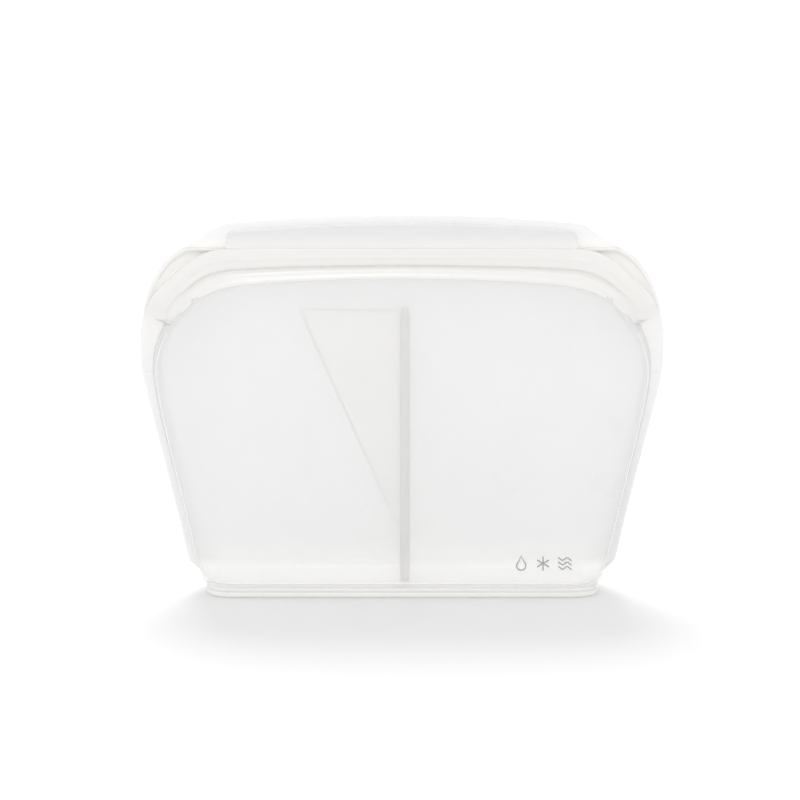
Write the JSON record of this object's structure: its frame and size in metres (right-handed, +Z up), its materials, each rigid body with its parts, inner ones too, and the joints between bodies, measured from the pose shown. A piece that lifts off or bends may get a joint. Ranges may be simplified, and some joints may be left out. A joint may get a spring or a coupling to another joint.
{
  "type": "reusable silicone storage bag",
  "caption": "Stand-up translucent silicone food bag with a press-seal mouth, pull lips and a folding centre divider.",
  "frame": {"origin": "on the surface the bag stands on, under the middle of the base", "axes": "+X to the bag's right seen from the front, -Y the front, +Z up"},
  "size_m": [0.23, 0.046, 0.1659],
  "materials": {
    "silicone": "satin translucent silicone",
    "silicone_thin": "thin translucent silicone",
    "silicone_thick": "thick translucent silicone"
  },
  "bodies": {
    "base": {"base_foot_rim": "silicone_thick", "base_floor": "silicone", "base_tray_wall": "silicone", "divider_lower_web": "silicone_thick", "right_side_seam": "silicone", "left_side_seam": "silicone", "right_back_wing": "silicone", "left_back_wing": "silicone", "right_front_wing": "silicone", "left_front_wing": "silicone"},
    "front_wall": {"front_panel": "silicone", "front_seal_band": "silicone", "front_seal_ribs": "silicone", "front_divider_root": "silicone_thick"},
    "back_wall": {"back_panel": "silicone", "back_seal_band": "silicone", "back_divider_root": "silicone_thick"},
    "front_lip": {"front_pull_lip": "silicone"},
    "back_lip": {"back_pull_lip": "silicone"},
    "front_leaf": {"divider_front_leaf": "silicone_thin"},
    "back_leaf": {"divider_back_leaf": "silicone_thin"}
  },
  "joints": [
    {"name": "front_wall_swing", "type": "hinge", "parent": "base", "child": "front_wall", "pos_m": [0, -0.0206, 0.02], "axis": [1, 0, 0], "range_deg": [0, 15]},
    {"name": "back_wall_swing", "type": "hinge", "parent": "base", "child": "back_wall", "pos_m": [0, 0.0206, 0.02], "axis": [-1, 0, 0], "range_deg": [0, 15]},
    {"name": "front_lip_flex", "type": "hinge", "parent": "front_wall", "child": "front_lip", "pos_m": [0, -0.0022, 0.15165], "axis": [1, 0, 0], "range_deg": [0, 45], "stiffness_Nm_per_rad": 0.01},
    {"name": "back_lip_flex", "type": "hinge", "parent": "back_wall", "child": "back_lip", "pos_m": [0, 0.0022, 0.15165], "axis": [-1, 0, 0], "range_deg": [0, 45], "stiffness_Nm_per_rad": 0.01},
    {"name": "front_leaf_fold", "type": "hinge", "parent": "front_wall", "child": "front_leaf", "pos_m": [0, -0.01671, 0.024], "axis": [0, -0.1459, -0.9893], "range_deg": [0, 36]},
    {"name": "back_leaf_fold", "type": "hinge", "parent": "back_wall", "child": "back_leaf", "pos_m": [0, 0.01671, 0.024], "axis": [0, -0.1459, 0.9893], "range_deg": [0, 36]}
  ],
  "couplings": [
    {"joint": "back_wall_swing", "follows": "front_wall_swing", "ratio": 1},
    {"joint": "front_leaf_fold", "follows": "front_wall_swing", "ratio": 2.4},
    {"joint": "back_leaf_fold", "follows": "front_wall_swing", "ratio": 2.4}
  ]
}
